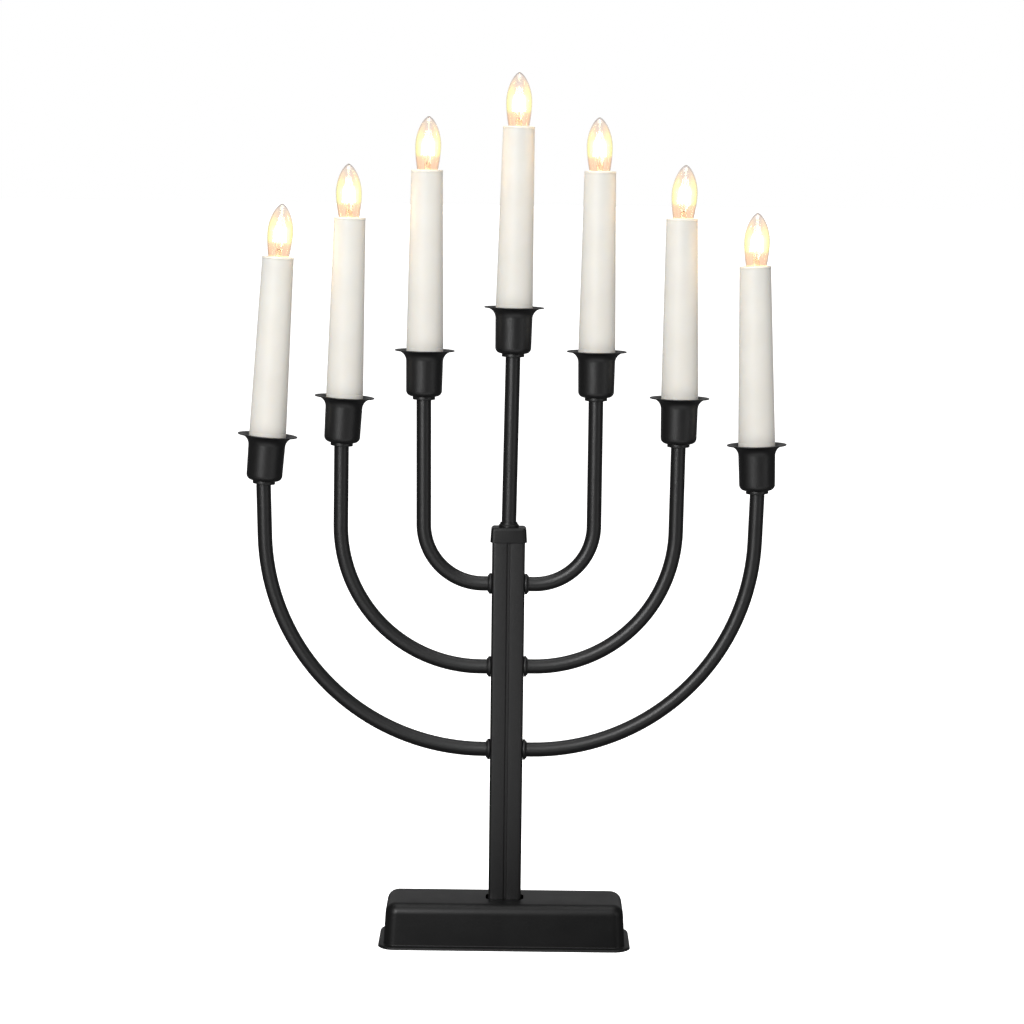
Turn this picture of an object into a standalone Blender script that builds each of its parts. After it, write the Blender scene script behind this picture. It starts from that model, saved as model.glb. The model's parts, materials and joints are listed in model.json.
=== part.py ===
"""Electric seven-light candelabrum: a grooved post on a weighted base, six bent tube arms,
and seven candle lights, each a drip cup, a sleeve, a lampholder and a screw-in bulb.

Lengths below are millimetres and angles are degrees; MM turns a length into metres.
+Z is up, the front faces -Y, and the origin is under the middle of the base.
"""
import math

import bmesh
import bpy
from mathutils import Matrix, Vector

MM = 0.001
GAP = 0.3                    # air between pieces that touch or fit together

# ---- base -----------------------------------------------------------------------------
BASE_HEIGHT = 25.5
BASE_TOP = (68.4, 19.9)      # half length and half depth where the top edge starts to round
BASE_FOOT = (69.8, 21.0)     # half length and half depth just above the flange
BASE_EDGE_RADIUS = 6.0
BASE_CORNER_RADIUS = 7.0
BASE_WALL = 2.0
FLANGE = (72.95, 24.6)
FLANGE_CORNER_RADIUS = 10.0
FLANGE_TOP = 1.4
FLANGE_CHAMFER = 0.8
COVE_RADIUS = 0.6            # the hollow between the flange and the wall
SHELL_CHAMFER = 3.5          # inside, under the rounded top edge
SHELL_CORNER_RADIUS = 5.0
POST_SLOT = (11.05, 6.8, 4.5)    # half width, half depth and corner radius
PLATE_BOTTOM = 0.6
PLATE_THICKNESS = 6.0
FOOT_RADIUS = 4.0
FOOT_PLACES = ((58.0, 11.0), (58.0, -11.0), (-58.0, 11.0), (-58.0, -11.0))
SOCKET_HEIGHT = 6.0
SOCKET_WALL = 2.2
INLET_WIDTH = 7.0            # cord inlet: a notch in the rear wall, floored by the plate's tongue
INLET_TOP = 8.4
INLET_SILL = 2.6
INLET_REACH = 15.0           # how far behind the middle the notch and its tongue begin
SOCKET_WIRE_GAP = 3.4        # half width of the opening at the back of the post's socket

# ---- post and its cap -------------------------------------------------------------------
POST = (9.45, 6.0)           # half width and half depth
POST_CORNER_RADIUS = 2.0
POST_TOP = 238.0
POST_BORE = (5.5, 3.4)
POST_WIRE_NOTCH = (3.2, 11.0)    # half width and height, at the foot of the rear wall
GROOVE_HALF_WIDTH = 0.8
GROOVE_FLOOR = 4.7
GROOVE_LIP = 0.5
CAP_BOTTOM = 234.7
CAP_TOP = 243.2
CAP_FOOT = (10.55, 7.3)
CAP_HEAD = (10.0, 6.8)
CAP_EDGE_RADIUS = 1.8
CAP_CORNER_RADIUS = 2.6
CAP_RING_RADIUS = 5.8
CAP_RING_TOP = 244.4
CAP_RING_TIP = 245.8

# ---- tubes and their collars ------------------------------------------------------------
TUBE_RADIUS = 4.22
TUBE_BORE = 3.2
TUBE_SIDES = 8
ARM_START = 6.0              # where an arm's end stands in the post's side wall
ARC_STEPS = {"inner": 6, "middle": 8, "outer": 10}
COLLAR_RADIUS = 6.0
COLLAR_LENGTH = 2.3
STEM_LEAN = 0.73

# Each hand-bent arm: its height at the post, where its bend starts, the bend's radius and sweep.
ARMS = {
    "left_outer": (113.3, 13.6, 126.1, 88.5),
    "left_middle": (161.8, 15.3, 80.9, 90.3),
    "left_inner": (210.2, 14.6, 34.1, 89.6),
    "right_inner": (210.1, 14.8, 33.9, 90.0),
    "right_middle": (162.1, 15.3, 80.3, 89.4),
    "right_outer": (113.2, 14.5, 126.5, 88.4),
}
# Each light: its rim's height, then how far its cup and its candle sleeve lean towards +X,
# and how far its bulb leans past the sleeve.
LIGHTS = {
    "left_outer": (294.45, 4.5, 3.35, 1.0),
    "left_middle": (316.9, 3.2, 1.5, -2.1),
    "left_inner": (343.85, 0.6, 0.3, 1.0),
    "centre": (368.75, 0.7, 0.85, -0.6),
    "right_inner": (344.25, 0.1, 0.2, -1.2),
    "right_middle": (318.35, 0.3, -0.35, 2.65),
    "right_outer": (292.15, -1.9, -1.8, 2.3),
}

# ---- one light, measured along its own axis from the drip cup's rim ----------------------
KNEE = -29.5                 # where the tube turns onto the cup's axis
BULB_PIVOT = 88.0            # where the bulb's axis crosses the sleeve's
ROUND_SIDES = 16
HIDDEN_SIDES = 12
CUP_LIP_RADIUS = 17.05
CUP_LIP_THICKNESS = 0.6
CUP_RADIUS = 10.62
CUP_FOOT_RADIUS = 10.2
CUP_CORNER_RADIUS = 3.3
CUP_FLOOR = -26.3
CUP_FLOOR_THICKNESS = 2.0
CUP_WALL = 1.1
FLARE_START = -6.8
FLARE_OUTER_RADIUS = 15.7
NUT_RADIUS = 6.4
NUT_BOTTOM = -28.2
NUT_CHAMFER = 0.3
TUBE_END = -18.0
SLEEVE_FOOT_RADIUS = 10.55
SLEEVE_HEAD_RADIUS = 8.9
SLEEVE_SPIGOT_RADIUS = 8.3
SLEEVE_BORE = 7.75
SLEEVE_SHOULDER = -1.9
SLEEVE_TOP = 99.8
HOLDER_TOP = 101.3
HOLDER_BOTTOM = 78.0
HOLDER_LIP_RADIUS = 9.0
HOLDER_RADIUS = 7.4
HOLDER_MOUTH = 6.85
HOLDER_THREAD = 5.25
WIRE_HOLE = 1.9
CAP_RADIUS = 4.75            # E10 screw cap
CAP_BORE = 4.45
CAP_PROFILE_BOTTOM = ((0.0, 84.2), (2.2, 84.2), (CAP_RADIUS, 86.0))
CAP_CUP_FLOOR = ((CAP_BORE, 88.4), (0.0, 87.6))
BULB_NECK = (4.0, 94.6)
BULB_NECK_BOTTOM = 89.0
# Two handles, the end and the step count of each curve from the neck to the tip.
BULB_CURVES = (
    ((4.6, 97.0), (5.25, 98.2), (5.55, 100.1), 2),
    ((6.25, 102.1), (7.3, 110.3), (7.3, 114.8), 2),
    ((7.3, 122.3), (3.25, 130.7), (0.0, 131.2), 4),
)
GLASS_WALL = 0.7

# ---- wiring -----------------------------------------------------------------------------
TRUNK_RADIUS = 2.1
BRANCH_RADIUS = 1.2
WIRE_SIDES = 6
LOOM_BOTTOM = 14.0
LOOM_TAIL = 15.5             # how far behind the post's axis the loom's tail ends


# ---- materials and objects ----------------------------------------------------------------
def make_material(name, colour, roughness, metallic=0.0, transmission=0.0):
    material = bpy.data.materials.new(name)
    material.use_nodes = True
    shader = material.node_tree.nodes["Principled BSDF"]
    shader.inputs["Base Color"].default_value = (*colour, 1.0)
    shader.inputs["Roughness"].default_value = roughness
    shader.inputs["Metallic"].default_value = metallic
    shader.inputs["Transmission Weight"].default_value = transmission
    return material


def add_object(name, bm, material=None, parent=None):
    bmesh.ops.recalc_face_normals(bm, faces=bm.faces)
    bmesh.ops.scale(bm, vec=(MM, MM, MM), verts=bm.verts)
    mesh = bpy.data.meshes.new(name)
    bm.to_mesh(mesh)
    bm.free()
    mesh.shade_smooth()
    mesh.set_sharp_from_angle(angle=math.radians(35))
    obj = bpy.data.objects.new(name, mesh)
    bpy.context.scene.collection.objects.link(obj)
    if material:
        mesh.materials.append(material)
    obj.parent = parent
    return obj


def combine(target, operation, tools):
    """Adds, or cuts away, helper solids that are not pieces themselves."""
    for tool in tools:
        tool.hide_render = True
        tool.display_type = "WIRE"
        modifier = target.modifiers.new(tool.name, "BOOLEAN")
        modifier.operation = operation
        modifier.solver = "EXACT"
        modifier.object = tool


# ---- shapes -------------------------------------------------------------------------------
def loft(name, rings, material=None, closed=False):
    """Joins rings of points that have equal counts; closed joins the last to the first."""
    bm = bmesh.new()
    loops = [[bm.verts.new(point) for point in ring] for ring in rings]
    count = len(loops[0])
    pairs = list(zip(loops, loops[1:]))
    if closed:
        pairs.append((loops[-1], loops[0]))
    else:
        bm.faces.new(loops[0])
        bm.faces.new(loops[-1])
    for low, high in pairs:
        for i in range(count):
            j = (i + 1) % count
            bm.faces.new((low[i], low[j], high[j], high[i]))
    return add_object(name, bm, material)


def turn(name, profile, sides, material, parent=None):
    """Turns (radius, height) points about Z. A profile off the axis is closed on itself."""
    bm = bmesh.new()
    verts = [bm.verts.new((radius, 0.0, height)) for radius, height in profile]
    edges = [bm.edges.new(pair) for pair in zip(verts, verts[1:])]
    if profile[0][0] > 0.0:
        edges.append(bm.edges.new((verts[-1], verts[0])))
    bmesh.ops.spin(bm, geom=verts + edges, axis=(0, 0, 1), cent=(0, 0, 0),
                   angle=2.0 * math.pi, steps=sides, use_duplicate=False)
    bmesh.ops.remove_doubles(bm, verts=bm.verts, dist=1e-4)
    return add_object(name, bm, material, parent)


def rounded_rectangle(half_x, half_y, radius, z, steps=4):
    """Points round a rectangle with arc corners, counter-clockwise seen from above."""
    points = []
    for quarter in range(4):
        side_x = 1 if quarter in (0, 3) else -1
        side_y = 1 if quarter < 2 else -1
        for step in range(steps + 1):
            angle = math.radians(90.0 * (quarter + step / steps))
            points.append(Vector((side_x * (half_x - radius) + radius * math.cos(angle),
                                  side_y * (half_y - radius) + radius * math.sin(angle), z)))
    return points


def circle(radius, z, count=20):
    """Points of a circle that pair with those of rounded_rectangle."""
    angles = [2.0 * math.pi * (i + 0.5) / count for i in range(count)]
    return [Vector((radius * math.cos(a), radius * math.sin(a), z)) for a in angles]


def bezier(start, handle_a, handle_b, end, steps):
    """Points after start up to end on a cubic curve, for a turned profile."""
    points = []
    for step in range(1, steps + 1):
        t = step / steps
        weights = ((1 - t) ** 3, 3 * t * (1 - t) ** 2, 3 * t * t * (1 - t), t ** 3)
        corners = (start, handle_a, handle_b, end)
        points.append(tuple(sum(w * c[k] for w, c in zip(weights, corners)) for k in (0, 1)))
    return points


def box(name, low, high):
    bm = bmesh.new()
    bmesh.ops.create_cube(bm, size=1.0)
    size = Vector(high) - Vector(low)
    middle = (Vector(high) + Vector(low)) / 2.0
    bmesh.ops.transform(bm, matrix=Matrix.LocRotScale(middle, None, size), verts=bm.verts)
    return add_object(name, bm)


def path_rings(path, radius, sides):
    """Rings round a path that lies in an XZ or YZ plane."""
    across = Vector((0, 1, 0)) if abs(path[0].y - path[-1].y) < 1e-6 else Vector((1, 0, 0))
    rings = []
    for i, point in enumerate(path):
        along = (path[min(i + 1, len(path) - 1)] - path[max(i - 1, 0)]).normalized()
        up = along.cross(across).normalized()
        ring = []
        for side in range(sides):
            angle = 2.0 * math.pi * (side + 0.5) / sides
            ring.append(point + radius * (math.cos(angle) * across + math.sin(angle) * up))
        rings.append(ring)
    return rings


def pipe(name, path, material, radius=TUBE_RADIUS, bore=TUBE_BORE, sides=TUBE_SIDES):
    outside = path_rings(path, radius, sides)
    inside = path_rings(path, bore, sides)
    return loft(name, outside + inside[::-1], material, closed=True)


# ---- where the lights stand ------------------------------------------------------------------
def leaning(degrees):
    """The upward direction that leans this far from +Z towards +X."""
    return Vector((math.sin(math.radians(degrees)), 0.0, math.cos(math.radians(degrees))))


def knee_path(name, start):
    """The centreline of a light's tube, from `start` along the tube's first stretch to the knee."""
    rim_height, cup_lean, *_ = LIGHTS[name]
    knee_height = rim_height + KNEE * leaning(cup_lean).z
    if name == "centre":
        slope = math.tan(math.radians(STEM_LEAN))
        return [Vector((slope * (z - CAP_TOP), 0.0, z)) for z in (start, knee_height)]
    side, pair = name.split("_")
    sign = -1 if side == "left" else 1
    height, bend_start, bend_radius, sweep = ARMS[name]
    points = [(start, height)]
    for step in range(ARC_STEPS[pair] + 1):
        angle = math.radians(sweep) * step / ARC_STEPS[pair]
        points.append((bend_start + bend_radius * math.sin(angle),
                       height + bend_radius * (1.0 - math.cos(angle))))
    x, z = points[-1]
    points.append((x + (knee_height - z) / math.tan(math.radians(sweep)), knee_height))
    return [Vector((sign * x, 0.0, z)) for x, z in points]


def rim_centre(name):
    return knee_path(name, CAP_TOP)[-1] - KNEE * leaning(LIGHTS[name][1])


def tube_path(name, start):
    return knee_path(name, start) + [rim_centre(name) + TUBE_END * leaning(LIGHTS[name][1])]


def add_axis(name, origin, lean):
    """An empty whose Z is an axis of a light; the light's turned pieces are its children."""
    empty = bpy.data.objects.new(name, None)
    empty.location = origin * MM
    empty.rotation_euler = (0.0, math.radians(lean), 0.0)
    bpy.context.scene.collection.objects.link(empty)
    return empty


# ---- pieces of one light ---------------------------------------------------------------------
def flare(radius, top, steps):
    """The cup's trumpet mouth: a quarter ellipse from its wall out to its lip."""
    reach = FLARE_OUTER_RADIUS - radius
    rise = top - FLARE_START
    points = []
    for step in range(steps + 1):
        angle = math.pi / 2.0 * step / steps
        points.append((FLARE_OUTER_RADIUS - reach * math.cos(angle),
                       FLARE_START + rise * math.sin(angle)))
    return points


def add_drip_cup(name, parent, material):
    """A deep cup whose wall narrows a little towards a rounded foot."""
    hole = TUBE_RADIUS + GAP
    corner = CUP_CORNER_RADIUS
    outside = [(hole, CUP_FLOOR)]
    for angle in (0.0, 35.0, 90.0):
        turned = math.radians(angle)
        outside.append((CUP_FOOT_RADIUS - corner * (1.0 - math.sin(turned)),
                        CUP_FLOOR + corner * (1.0 - math.cos(turned))))
    outside += flare(CUP_RADIUS, -CUP_LIP_THICKNESS, 3)
    outside += [(CUP_LIP_RADIUS, -CUP_LIP_THICKNESS), (CUP_LIP_RADIUS, 0.0)]
    inside = flare(CUP_RADIUS - CUP_WALL, 0.0, 3)[::-1]
    floor = CUP_FLOOR + CUP_FLOOR_THICKNESS
    inside += [(CUP_FOOT_RADIUS - CUP_WALL + 0.3, floor), (hole, floor)]
    turn(f"{name}_drip_cup", outside + inside, ROUND_SIDES, material, parent)


def add_cup_nut(name, parent, material):
    hole = TUBE_RADIUS + GAP
    top = CUP_FLOOR - GAP
    profile = [(hole, NUT_BOTTOM), (NUT_RADIUS - NUT_CHAMFER, NUT_BOTTOM),
               (NUT_RADIUS, NUT_BOTTOM + NUT_CHAMFER), (NUT_RADIUS, top), (hole, top)]
    turn(f"{name}_cup_nut", profile, ROUND_SIDES, material, parent)


def add_sleeve(name, parent, material):
    foot = CUP_FLOOR + CUP_FLOOR_THICKNESS + 2.0 * GAP
    profile = [(SLEEVE_SPIGOT_RADIUS, foot), (SLEEVE_SPIGOT_RADIUS, SLEEVE_SHOULDER),
               (SLEEVE_FOOT_RADIUS, SLEEVE_SHOULDER), (SLEEVE_HEAD_RADIUS, SLEEVE_TOP),
               (SLEEVE_BORE, SLEEVE_TOP), (SLEEVE_BORE, foot)]
    turn(f"{name}_candle_sleeve", profile, ROUND_SIDES, material, parent)


def add_lampholder(name, parent, material):
    """Rests by its lip on the sleeve's end; its lower half takes the bulb's screw cap."""
    profile = [(HOLDER_RADIUS, HOLDER_BOTTOM), (HOLDER_RADIUS, SLEEVE_TOP + GAP),
               (HOLDER_LIP_RADIUS, SLEEVE_TOP + GAP), (HOLDER_LIP_RADIUS, HOLDER_TOP),
               (HOLDER_MOUTH, HOLDER_TOP), (HOLDER_MOUTH, HOLDER_TOP - 4.0),
               (HOLDER_THREAD, HOLDER_TOP - 6.0), (HOLDER_THREAD, HOLDER_BOTTOM + 2.0),
               (WIRE_HOLE, HOLDER_BOTTOM + 2.0), (WIRE_HOLE, HOLDER_BOTTOM)]
    turn(f"{name}_lampholder", profile, HIDDEN_SIDES, material, parent)


def add_bulb_cap(name, parent, material):
    profile = [*CAP_PROFILE_BOTTOM, (CAP_RADIUS, BULB_NECK[1]), (CAP_BORE, BULB_NECK[1]),
               *CAP_CUP_FLOOR]
    turn(f"{name}_bulb_cap", profile, HIDDEN_SIDES, material, parent)


def add_bulb_glass(name, parent, material):
    """A thin candle-shaped envelope, open at the neck that stands in its screw cap."""
    outside = [(BULB_NECK[0], BULB_NECK_BOTTOM), BULB_NECK]
    for handle_a, handle_b, end, steps in BULB_CURVES:
        outside += bezier(outside[-1], handle_a, handle_b, end, steps)
    inside = [(radius - GLASS_WALL, height) for radius, height in outside[-2::-1]]
    inner_tip = (0.0, outside[-1][1] - 1.6 * GLASS_WALL)
    profile = [inner_tip, *inside, *outside]
    turn(f"{name}_bulb_glass", profile, ROUND_SIDES, material, parent)


def add_light(name, materials):
    _, cup_lean, sleeve_lean, bulb_tilt = LIGHTS[name]
    rim = rim_centre(name)
    bulb_lean = sleeve_lean + bulb_tilt
    bulb_origin = rim + BULB_PIVOT * (leaning(sleeve_lean) - leaning(bulb_lean))
    cup_axis = add_axis(f"{name}_cup_axis", rim, cup_lean)
    sleeve_axis = add_axis(f"{name}_sleeve_axis", rim, sleeve_lean)
    bulb_axis = add_axis(f"{name}_bulb_axis", bulb_origin, bulb_lean)
    add_cup_nut(name, cup_axis, materials["black"])
    add_drip_cup(name, cup_axis, materials["black"])
    add_sleeve(name, sleeve_axis, materials["ivory"])
    add_lampholder(name, sleeve_axis, materials["holder"])
    add_bulb_cap(name, bulb_axis, materials["nickel"])
    add_bulb_glass(name, bulb_axis, materials["glass"])


# ---- base, post and arms ------------------------------------------------------------------------
def add_base_cover(material):
    """One moulded shell, open below, with a slot for the post and a notch for the cord."""
    edge = BASE_EDGE_RADIUS
    outside = [rounded_rectangle(*FLANGE, FLANGE_CORNER_RADIUS, 0.0),
               rounded_rectangle(*FLANGE, FLANGE_CORNER_RADIUS, FLANGE_TOP - FLANGE_CHAMFER),
               rounded_rectangle(FLANGE[0] - FLANGE_CHAMFER, FLANGE[1] - FLANGE_CHAMFER,
                                 FLANGE_CORNER_RADIUS - FLANGE_CHAMFER, FLANGE_TOP)]
    for angle in (0.0, 45.0, 90.0):
        turned = math.radians(angle)
        outset = COVE_RADIUS * (1.0 - math.sin(turned))
        outside.append(rounded_rectangle(BASE_FOOT[0] + outset, BASE_FOOT[1] + outset,
                                         BASE_CORNER_RADIUS + outset,
                                         FLANGE_TOP + COVE_RADIUS * (1.0 - math.cos(turned))))
    for angle in (0.0, 30.0, 60.0, 90.0):
        turned = math.radians(angle)
        inset = edge * (1.0 - math.cos(turned))
        outside.append(rounded_rectangle(BASE_TOP[0] - inset, BASE_TOP[1] - inset,
                                         BASE_CORNER_RADIUS - inset,
                                         BASE_HEIGHT - edge * (1.0 - math.sin(turned))))
    outside.append(rounded_rectangle(*POST_SLOT, BASE_HEIGHT))
    ceiling = BASE_HEIGHT - BASE_WALL
    wall = (BASE_TOP[0] - BASE_WALL, BASE_TOP[1] - BASE_WALL)
    inside = [rounded_rectangle(*POST_SLOT, ceiling),
              rounded_rectangle(wall[0] - SHELL_CHAMFER, wall[1] - SHELL_CHAMFER,
                                SHELL_CORNER_RADIUS - 2.0, ceiling),
              rounded_rectangle(*wall, SHELL_CORNER_RADIUS, ceiling - SHELL_CHAMFER),
              rounded_rectangle(BASE_FOOT[0] - BASE_WALL, BASE_FOOT[1] - BASE_WALL,
                                SHELL_CORNER_RADIUS, 0.0)]
    cover = loft("base_cover", outside + inside, material, closed=True)
    half = INLET_WIDTH / 2.0
    notch = box("inlet_notch", (-half, INLET_REACH, -1.0), (half, FLANGE[1] + 1.0, INLET_TOP))
    combine(cover, "DIFFERENCE", [notch])


def add_base_plate(material):
    """Closes and weights the base: feet below, the post's socket above, a tongue in the notch."""
    half_x = BASE_FOOT[0] - BASE_WALL - GAP
    half_y = BASE_FOOT[1] - BASE_WALL - GAP
    top = PLATE_BOTTOM + PLATE_THICKNESS
    corner = SHELL_CORNER_RADIUS - GAP
    plate = loft("base_plate", [rounded_rectangle(half_x, half_y, corner, PLATE_BOTTOM),
                                rounded_rectangle(half_x - GAP, half_y - GAP, corner, top)],
                 material)
    tongue = INLET_WIDTH / 2.0 - GAP
    parts = [box("inlet_tongue", (-tongue, INLET_REACH, PLATE_BOTTOM),
                 (tongue, FLANGE[1], INLET_SILL))]
    for number, (x, y) in enumerate(FOOT_PLACES, 1):
        parts.append(loft(f"foot_{number}", [
            [point + Vector((x, y, 0)) for point in circle(FOOT_RADIUS, z, HIDDEN_SIDES)]
            for z in (0.0, PLATE_BOTTOM + 1.0)]))
    inner = (POST[0] + GAP, POST[1] + GAP, POST_CORNER_RADIUS)
    outer = (inner[0] + SOCKET_WALL, inner[1] + SOCKET_WALL, POST_CORNER_RADIUS + 1.0)
    socket_top = top + SOCKET_HEIGHT
    parts.append(loft("post_socket", [
        rounded_rectangle(*outer, top - 1.0), rounded_rectangle(*outer, socket_top),
        rounded_rectangle(*inner, socket_top), rounded_rectangle(*inner, top - 1.0)], closed=True))
    combine(plate, "UNION", parts)
    combine(plate, "DIFFERENCE", [
        box("plate_inlet_relief", (-tongue, INLET_REACH - 3.0, INLET_SILL),
            (tongue, FLANGE[1] + 1.0, top + 1.0)),
        box("socket_wire_gap", (-SOCKET_WIRE_GAP, 0.0, top),
            (SOCKET_WIRE_GAP, outer[1] + 1.0, socket_top + 1.0))])


def post_outline():
    """A quarter of the grooved section, mirrored round; counter-clockwise from above."""
    half_x, half_y = POST
    quarter = [(GROOVE_HALF_WIDTH, GROOVE_FLOOR), (GROOVE_HALF_WIDTH, half_y - GROOVE_LIP),
               (GROOVE_HALF_WIDTH + GROOVE_LIP, half_y)]
    for angle in (90.0, 60.0, 30.0, 0.0):
        turned = math.radians(angle)
        quarter.append((half_x - POST_CORNER_RADIUS * (1.0 - math.cos(turned)),
                        half_y - POST_CORNER_RADIUS * (1.0 - math.sin(turned))))
    right_rear = [(x, y) for x, y in reversed(quarter)]
    left_rear = [(-x, y) for x, y in quarter]
    left_front = [(-x, -y) for x, y in reversed(quarter)]
    right_front = [(x, -y) for x, y in quarter]
    return right_rear + left_rear + left_front + right_front


def add_post(material):
    bottom = PLATE_BOTTOM + PLATE_THICKNESS + GAP
    outline = post_outline()
    post = loft("post", [[Vector((x, y, z)) for x, y in outline] for z in (bottom, POST_TOP)],
                material)
    notch_half, notch_height = POST_WIRE_NOTCH
    cutters = [loft("post_bore", [rounded_rectangle(*POST_BORE, 1.0, z, steps=2)
                                  for z in (bottom - 1.0, POST_TOP + 1.0)]),
               box("post_wire_notch", (-notch_half, 0.0, bottom - 1.0),
                   (notch_half, POST[1] + 1.0, bottom + notch_height))]
    for name, (height, *_) in ARMS.items():
        sign = -1 if name.startswith("left") else 1
        path = [Vector((sign * x, 0.0, height)) for x in (POST_BORE[0] - 0.5, POST[0] + 2.0)]
        cutters.append(loft(f"{name}_hole", path_rings(path, TUBE_RADIUS + GAP, TUBE_SIDES)))
    combine(post, "DIFFERENCE", cutters)


def add_post_cap(material):
    """A cap over the post's top with a moulded ring where the stem comes out."""
    edge = CAP_EDGE_RADIUS
    pocket = (POST[0] + GAP, POST[1] + GAP, 2.2)
    ceiling = POST_TOP + GAP
    hole = TUBE_RADIUS + GAP
    rings = [rounded_rectangle(*CAP_FOOT, CAP_CORNER_RADIUS, CAP_BOTTOM)]
    for angle in (0.0, 45.0, 90.0):
        turned = math.radians(angle)
        inset = edge * (1.0 - math.cos(turned))
        rings.append(rounded_rectangle(CAP_HEAD[0] - inset, CAP_HEAD[1] - inset,
                                       CAP_CORNER_RADIUS - inset,
                                       CAP_TOP - edge * (1.0 - math.sin(turned))))
    # the ring is wider than the flat between the rounded edges, so it starts just inside them
    rings[-1] = rounded_rectangle(CAP_HEAD[0] - edge, CAP_RING_RADIUS + 0.2, 0.9, CAP_TOP)
    rings += [circle(CAP_RING_RADIUS, CAP_TOP), circle(CAP_RING_RADIUS, CAP_RING_TOP),
              circle(hole + 0.5, CAP_RING_TIP), circle(hole, CAP_RING_TIP), circle(hole, ceiling),
              rounded_rectangle(*pocket, ceiling), rounded_rectangle(*pocket, CAP_BOTTOM)]
    loft("post_cap", rings, material, closed=True)


def add_arm(name, material):
    sign = -1 if name.startswith("left") else 1
    pipe(f"{name}_arm", tube_path(name, ARM_START), material)
    hole = TUBE_RADIUS + GAP
    profile = [(hole, 0.0), (COLLAR_RADIUS, 0.0), (COLLAR_RADIUS, COLLAR_LENGTH - 0.9),
               (hole + 0.5, COLLAR_LENGTH), (hole, COLLAR_LENGTH)]
    collar = turn(f"{name}_arm_collar", profile, ROUND_SIDES, material)
    collar.location = (sign * (POST[0] + GAP) * MM, 0.0, ARMS[name][0] * MM)
    collar.rotation_euler = (0.0, sign * math.pi / 2.0, 0.0)


def add_wiring(material):
    """One loom: a trunk in the post, a tail towards the inlet and a branch up to each light."""
    wire_end = HOLDER_BOTTOM - GAP
    trunk = [Vector((0.0, 0.0, z)) for z in (LOOM_BOTTOM, CAP_TOP)]
    tail = [Vector((0.0, y, LOOM_BOTTOM + 1.6)) for y in (0.0, LOOM_TAIL)]
    loom = loft("wiring_loom", path_rings(trunk, TRUNK_RADIUS, WIRE_SIDES), material)
    branches = [loft("loom_tail", path_rings(tail, BRANCH_RADIUS, WIRE_SIDES))]
    for name, (_, _, sleeve_lean, _) in LIGHTS.items():
        start = CAP_TOP - 6.0 if name == "centre" else 0.0
        rim = rim_centre(name)
        path = knee_path(name, start) + [rim, rim + wire_end * leaning(sleeve_lean)]
        branches.append(loft(f"{name}_wires", path_rings(path, BRANCH_RADIUS, WIRE_SIDES)))
    combine(loom, "UNION", branches)


def main():
    for old in list(bpy.data.objects):
        bpy.data.objects.remove(old, do_unlink=True)
    materials = {
        "black": make_material("black_powder_coat", (0.018, 0.018, 0.019), 0.42, 0.2),
        "ivory": make_material("ivory_sleeve", (0.85, 0.82, 0.74), 0.38),
        "holder": make_material("lampholder_plastic", (0.80, 0.76, 0.66), 0.45),
        "nickel": make_material("nickel_cap", (0.66, 0.63, 0.58), 0.3, 1.0),
        "glass": make_material("bulb_glass", (1.0, 0.93, 0.82), 0.02, 0.0, 1.0),
        "steel": make_material("plate_steel", (0.10, 0.10, 0.11), 0.5, 0.8),
        "wire": make_material("wire_insulation", (0.55, 0.50, 0.40), 0.5),
    }
    add_base_cover(materials["black"])
    add_base_plate(materials["steel"])
    add_post(materials["black"])
    add_post_cap(materials["black"])
    for name in ARMS:
        add_arm(name, materials["black"])
    pipe("centre_stem", tube_path("centre", POST_TOP + 2.0 * GAP), materials["black"])
    add_wiring(materials["wire"])
    for name in LIGHTS:
        add_light(name, materials)


main()
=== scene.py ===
"""Looks of the electric seven-light menorah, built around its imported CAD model.

Each CAD node but the base plate and the wiring loom, which only get a material, is replaced by
a finely modelled piece of the same size. Each light also gets its filament, stem and screw
thread. Lengths are millimetres; MM turns them into the frame's metres. The sizes and places
of the room's lights and of the camera are metres. +Z is up and the front faces -Y.
"""
import json
import math

import bmesh
import bpy
from mathutils import Matrix, Vector

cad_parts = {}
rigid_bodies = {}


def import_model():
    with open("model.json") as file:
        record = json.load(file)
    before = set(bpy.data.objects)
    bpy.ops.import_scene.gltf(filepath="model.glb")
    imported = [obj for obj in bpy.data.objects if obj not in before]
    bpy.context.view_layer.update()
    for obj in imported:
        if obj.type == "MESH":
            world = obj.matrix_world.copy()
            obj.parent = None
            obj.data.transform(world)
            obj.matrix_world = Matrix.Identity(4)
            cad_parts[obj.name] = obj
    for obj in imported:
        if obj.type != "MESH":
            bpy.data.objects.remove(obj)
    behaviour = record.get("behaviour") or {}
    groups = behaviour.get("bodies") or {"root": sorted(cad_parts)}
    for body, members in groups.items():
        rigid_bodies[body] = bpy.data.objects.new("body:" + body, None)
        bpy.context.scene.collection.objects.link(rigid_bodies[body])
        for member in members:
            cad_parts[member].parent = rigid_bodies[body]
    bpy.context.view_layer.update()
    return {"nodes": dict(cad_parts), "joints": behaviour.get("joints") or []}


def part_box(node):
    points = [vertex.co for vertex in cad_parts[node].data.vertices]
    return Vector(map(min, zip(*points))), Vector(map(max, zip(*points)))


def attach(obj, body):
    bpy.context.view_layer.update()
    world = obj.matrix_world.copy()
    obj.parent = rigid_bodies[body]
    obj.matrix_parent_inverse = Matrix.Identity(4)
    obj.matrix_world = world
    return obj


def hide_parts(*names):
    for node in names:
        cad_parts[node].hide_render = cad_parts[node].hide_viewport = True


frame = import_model()

MM = 0.001
FIT = 0.3                     # air that touching pieces keep between them
SEAM = 0.05                   # the fine line left where two visible pieces touch
ROUND = 72                    # sides of a turned piece

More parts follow.
